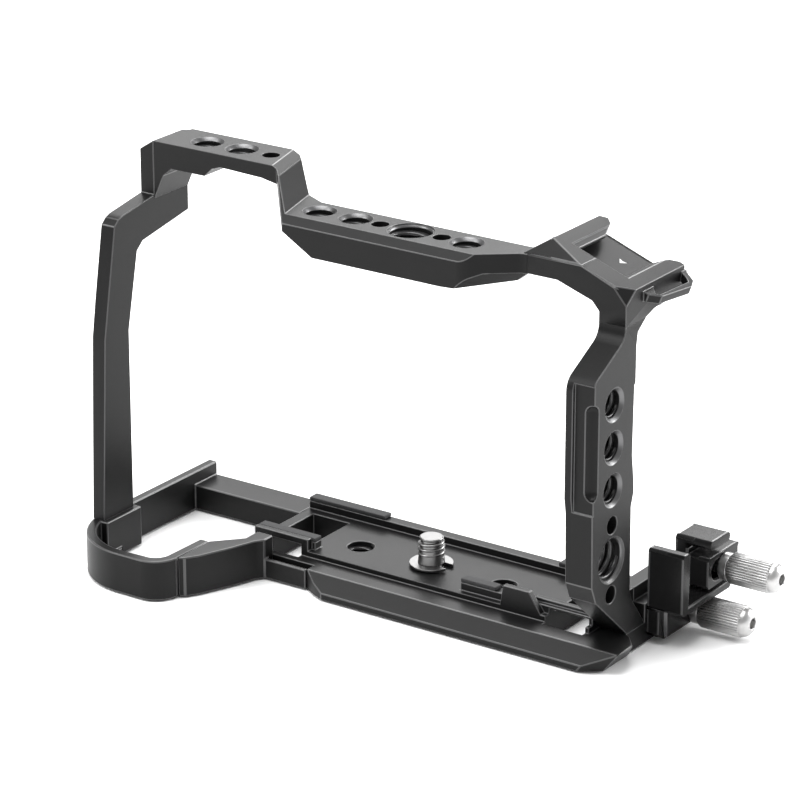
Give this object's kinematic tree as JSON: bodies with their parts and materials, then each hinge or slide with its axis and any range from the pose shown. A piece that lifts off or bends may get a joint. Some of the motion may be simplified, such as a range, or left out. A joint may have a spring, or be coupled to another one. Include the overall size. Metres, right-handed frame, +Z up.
{
  "type": "camera cage",
  "caption": "Milled metal cage for a compact camera, with threaded mounting points, a tilted accessory shoe, a dovetail foot, a grip tray and a cable clamp.",
  "frame": {"origin": "centre line of the dovetail foot in its bottom face, on the camera screw's axis", "axes": "+X along the foot from the grip side to the cable clamp side, -Y towards the lens side (front), +Z up"},
  "size_m": [0.1583, 0.071, 0.0983],
  "materials": {
    "frame": "satin black anodised",
    "clamp": "satin black anodised",
    "pads": "matte",
    "screws": "satin",
    "knobs": "knurled, nickel plated"
  },
  "bodies": {
    "frame": {"top_bar": "frame", "cold_shoe": "frame", "side_column": "frame", "base_plate": "frame", "grip_wall": "frame", "grip_tray": "frame", "side_post": "frame", "rail_pads": "pads", "rear_pads": "pads", "tray_pad": "pads", "key_magnets": "screws", "post_screws": "screws", "post_foot_screws": "screws", "tray_screws": "screws", "wall_screws": "screws", "clamp_body": "clamp", "clamp_dowels": "screws"},
    "captive_screw": {"camera_screw": "screws", "screw_clip": "screws"},
    "key": {"hex_key": "screws"},
    "jaw": {"clamp_jaw": "clamp"},
    "upper_washer": {"jaw_washer": "screws"},
    "upper_knob": {"jaw_knob": "knobs", "jaw_stud": "screws"},
    "lower_washer": {"lock_washer": "screws"},
    "lower_knob": {"lock_knob": "knobs", "lock_stud": "screws"}
  },
  "joints": [
    {"name": "camera_screw_turn", "type": "hinge", "parent": "frame", "child": "captive_screw", "pos_m": [0, 0, 0.005], "axis": [0, 0, 1], "continuous": true},
    {"name": "hex_key_out", "type": "slide", "parent": "frame", "child": "key", "axis": [0, 0, -1], "range_m": [0, 0.02]},
    {"name": "jaw_slide", "type": "slide", "parent": "frame", "child": "jaw", "axis": [0, 1, 0], "range_m": [0, 0.003]},
    {"name": "upper_washer_travel", "type": "slide", "parent": "frame", "child": "upper_washer", "axis": [1, 0, 0], "range_m": [0, 0.0021]},
    {"name": "upper_knob_turn", "type": "hinge", "parent": "upper_washer", "child": "upper_knob", "pos_m": [0.0674, 0.0221, 0.0145], "axis": [1, 0, 0], "range_deg": [0, 1080]},
    {"name": "lower_washer_travel", "type": "slide", "parent": "frame", "child": "lower_washer", "axis": [1, 0, 0], "range_m": [0, 0.0021]},
    {"name": "lower_knob_turn", "type": "hinge", "parent": "lower_washer", "child": "lower_knob", "pos_m": [0.0626, 0.01805, 0.004], "axis": [1, 0, 0], "range_deg": [0, 1080]}
  ],
  "couplings": [
    {"joint": "upper_knob_turn", "follows": "upper_washer_travel", "rad_per_m": 8975.9},
    {"joint": "lower_knob_turn", "follows": "lower_washer_travel", "rad_per_m": 8975.9}
  ]
}
